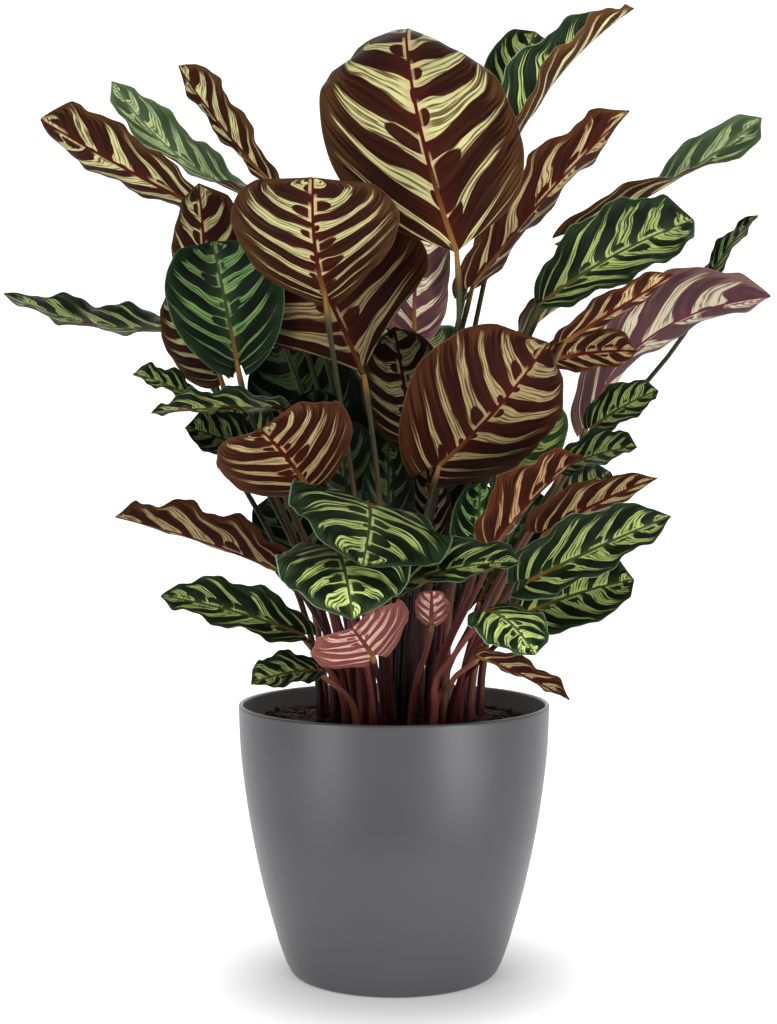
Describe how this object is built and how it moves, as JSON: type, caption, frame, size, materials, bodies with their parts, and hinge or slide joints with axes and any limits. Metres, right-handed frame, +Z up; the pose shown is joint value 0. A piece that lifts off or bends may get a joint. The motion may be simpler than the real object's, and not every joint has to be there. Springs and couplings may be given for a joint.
{
  "type": "potted calathea",
  "caption": "Leafy foliage plant with patterned oval blades on slender stalks, rooted in bark-rich potting mix in a plain round tapered pot.",
  "frame": {"origin": "on the pot's axis, at the middle of its flat underside", "axes": "+Z up along the pot's axis, -Y the plant's front, +X its right as seen from the front"},
  "size_m": [0.5649, 0.4008, 0.6961],
  "materials": {
    "pot_plastic": "satin moulded grey plastic",
    "potting_mix": "dark peat and bark chips, matt",
    "leaf": "thin living leaf, satin, patterned green above and maroon below"
  },
  "bodies": {
    "root": {"pot": "pot_plastic", "potting_mix": "potting_mix", "leaf_crown": "leaf", "leaf_upper_left": "leaf", "leaf_behind_left": "leaf", "leaf_mid_silver": "leaf", "leaf_centre_right": "leaf", "leaf_centre_back": "leaf", "leaf_right_top": "leaf", "leaf_right_wavy": "leaf", "leaf_right_long": "leaf", "leaf_right_green": "leaf", "leaf_right_outer": "leaf", "leaf_right_purple": "leaf", "leaf_right_narrow": "leaf", "leaf_right_oval": "leaf", "leaf_right_lime": "leaf", "leaf_right_shade_a": "leaf", "leaf_right_shade_b": "leaf", "leaf_right_inner": "leaf", "leaf_under_centre": "leaf", "leaf_maroon_upright": "leaf", "leaf_orange": "leaf", "leaf_brown_tail": "leaf", "leaf_right_lobed": "leaf", "leaf_right_low": "leaf", "leaf_drape": "leaf", "leaf_brown_low": "leaf", "leaf_front_flat": "leaf", "leaf_front_upper": "leaf", "leaf_front_lower": "leaf", "leaf_pink": "leaf", "leaf_pink_small": "leaf", "leaf_left_gutter": "leaf", "leaf_left_low": "leaf", "leaf_left_lowest": "leaf", "leaf_left_fan": "leaf", "leaf_left_mid_a": "leaf", "leaf_left_mid_b": "leaf", "leaf_left_long": "leaf", "leaf_left_outer": "leaf", "leaf_left_green": "leaf", "leaf_left_under": "leaf", "leaf_left_dark": "leaf", "leaf_left_spear": "leaf", "leaf_left_silver": "leaf", "leaf_left_top": "leaf", "leaf_left_level": "leaf", "leaf_back_fill_left": "leaf", "leaf_inner_left": "leaf", "leaf_inner_front": "leaf", "leaf_inner_centre": "leaf", "leaf_back_fill_right": "leaf", "leaf_back_high": "leaf", "leaf_back_middle": "leaf", "leaf_back_right": "leaf", "leaf_back_left": "leaf", "leaf_back_low": "leaf", "leaf_back_low_left": "leaf", "leaf_back_low_right": "leaf"}
  },
  "joints": []
}
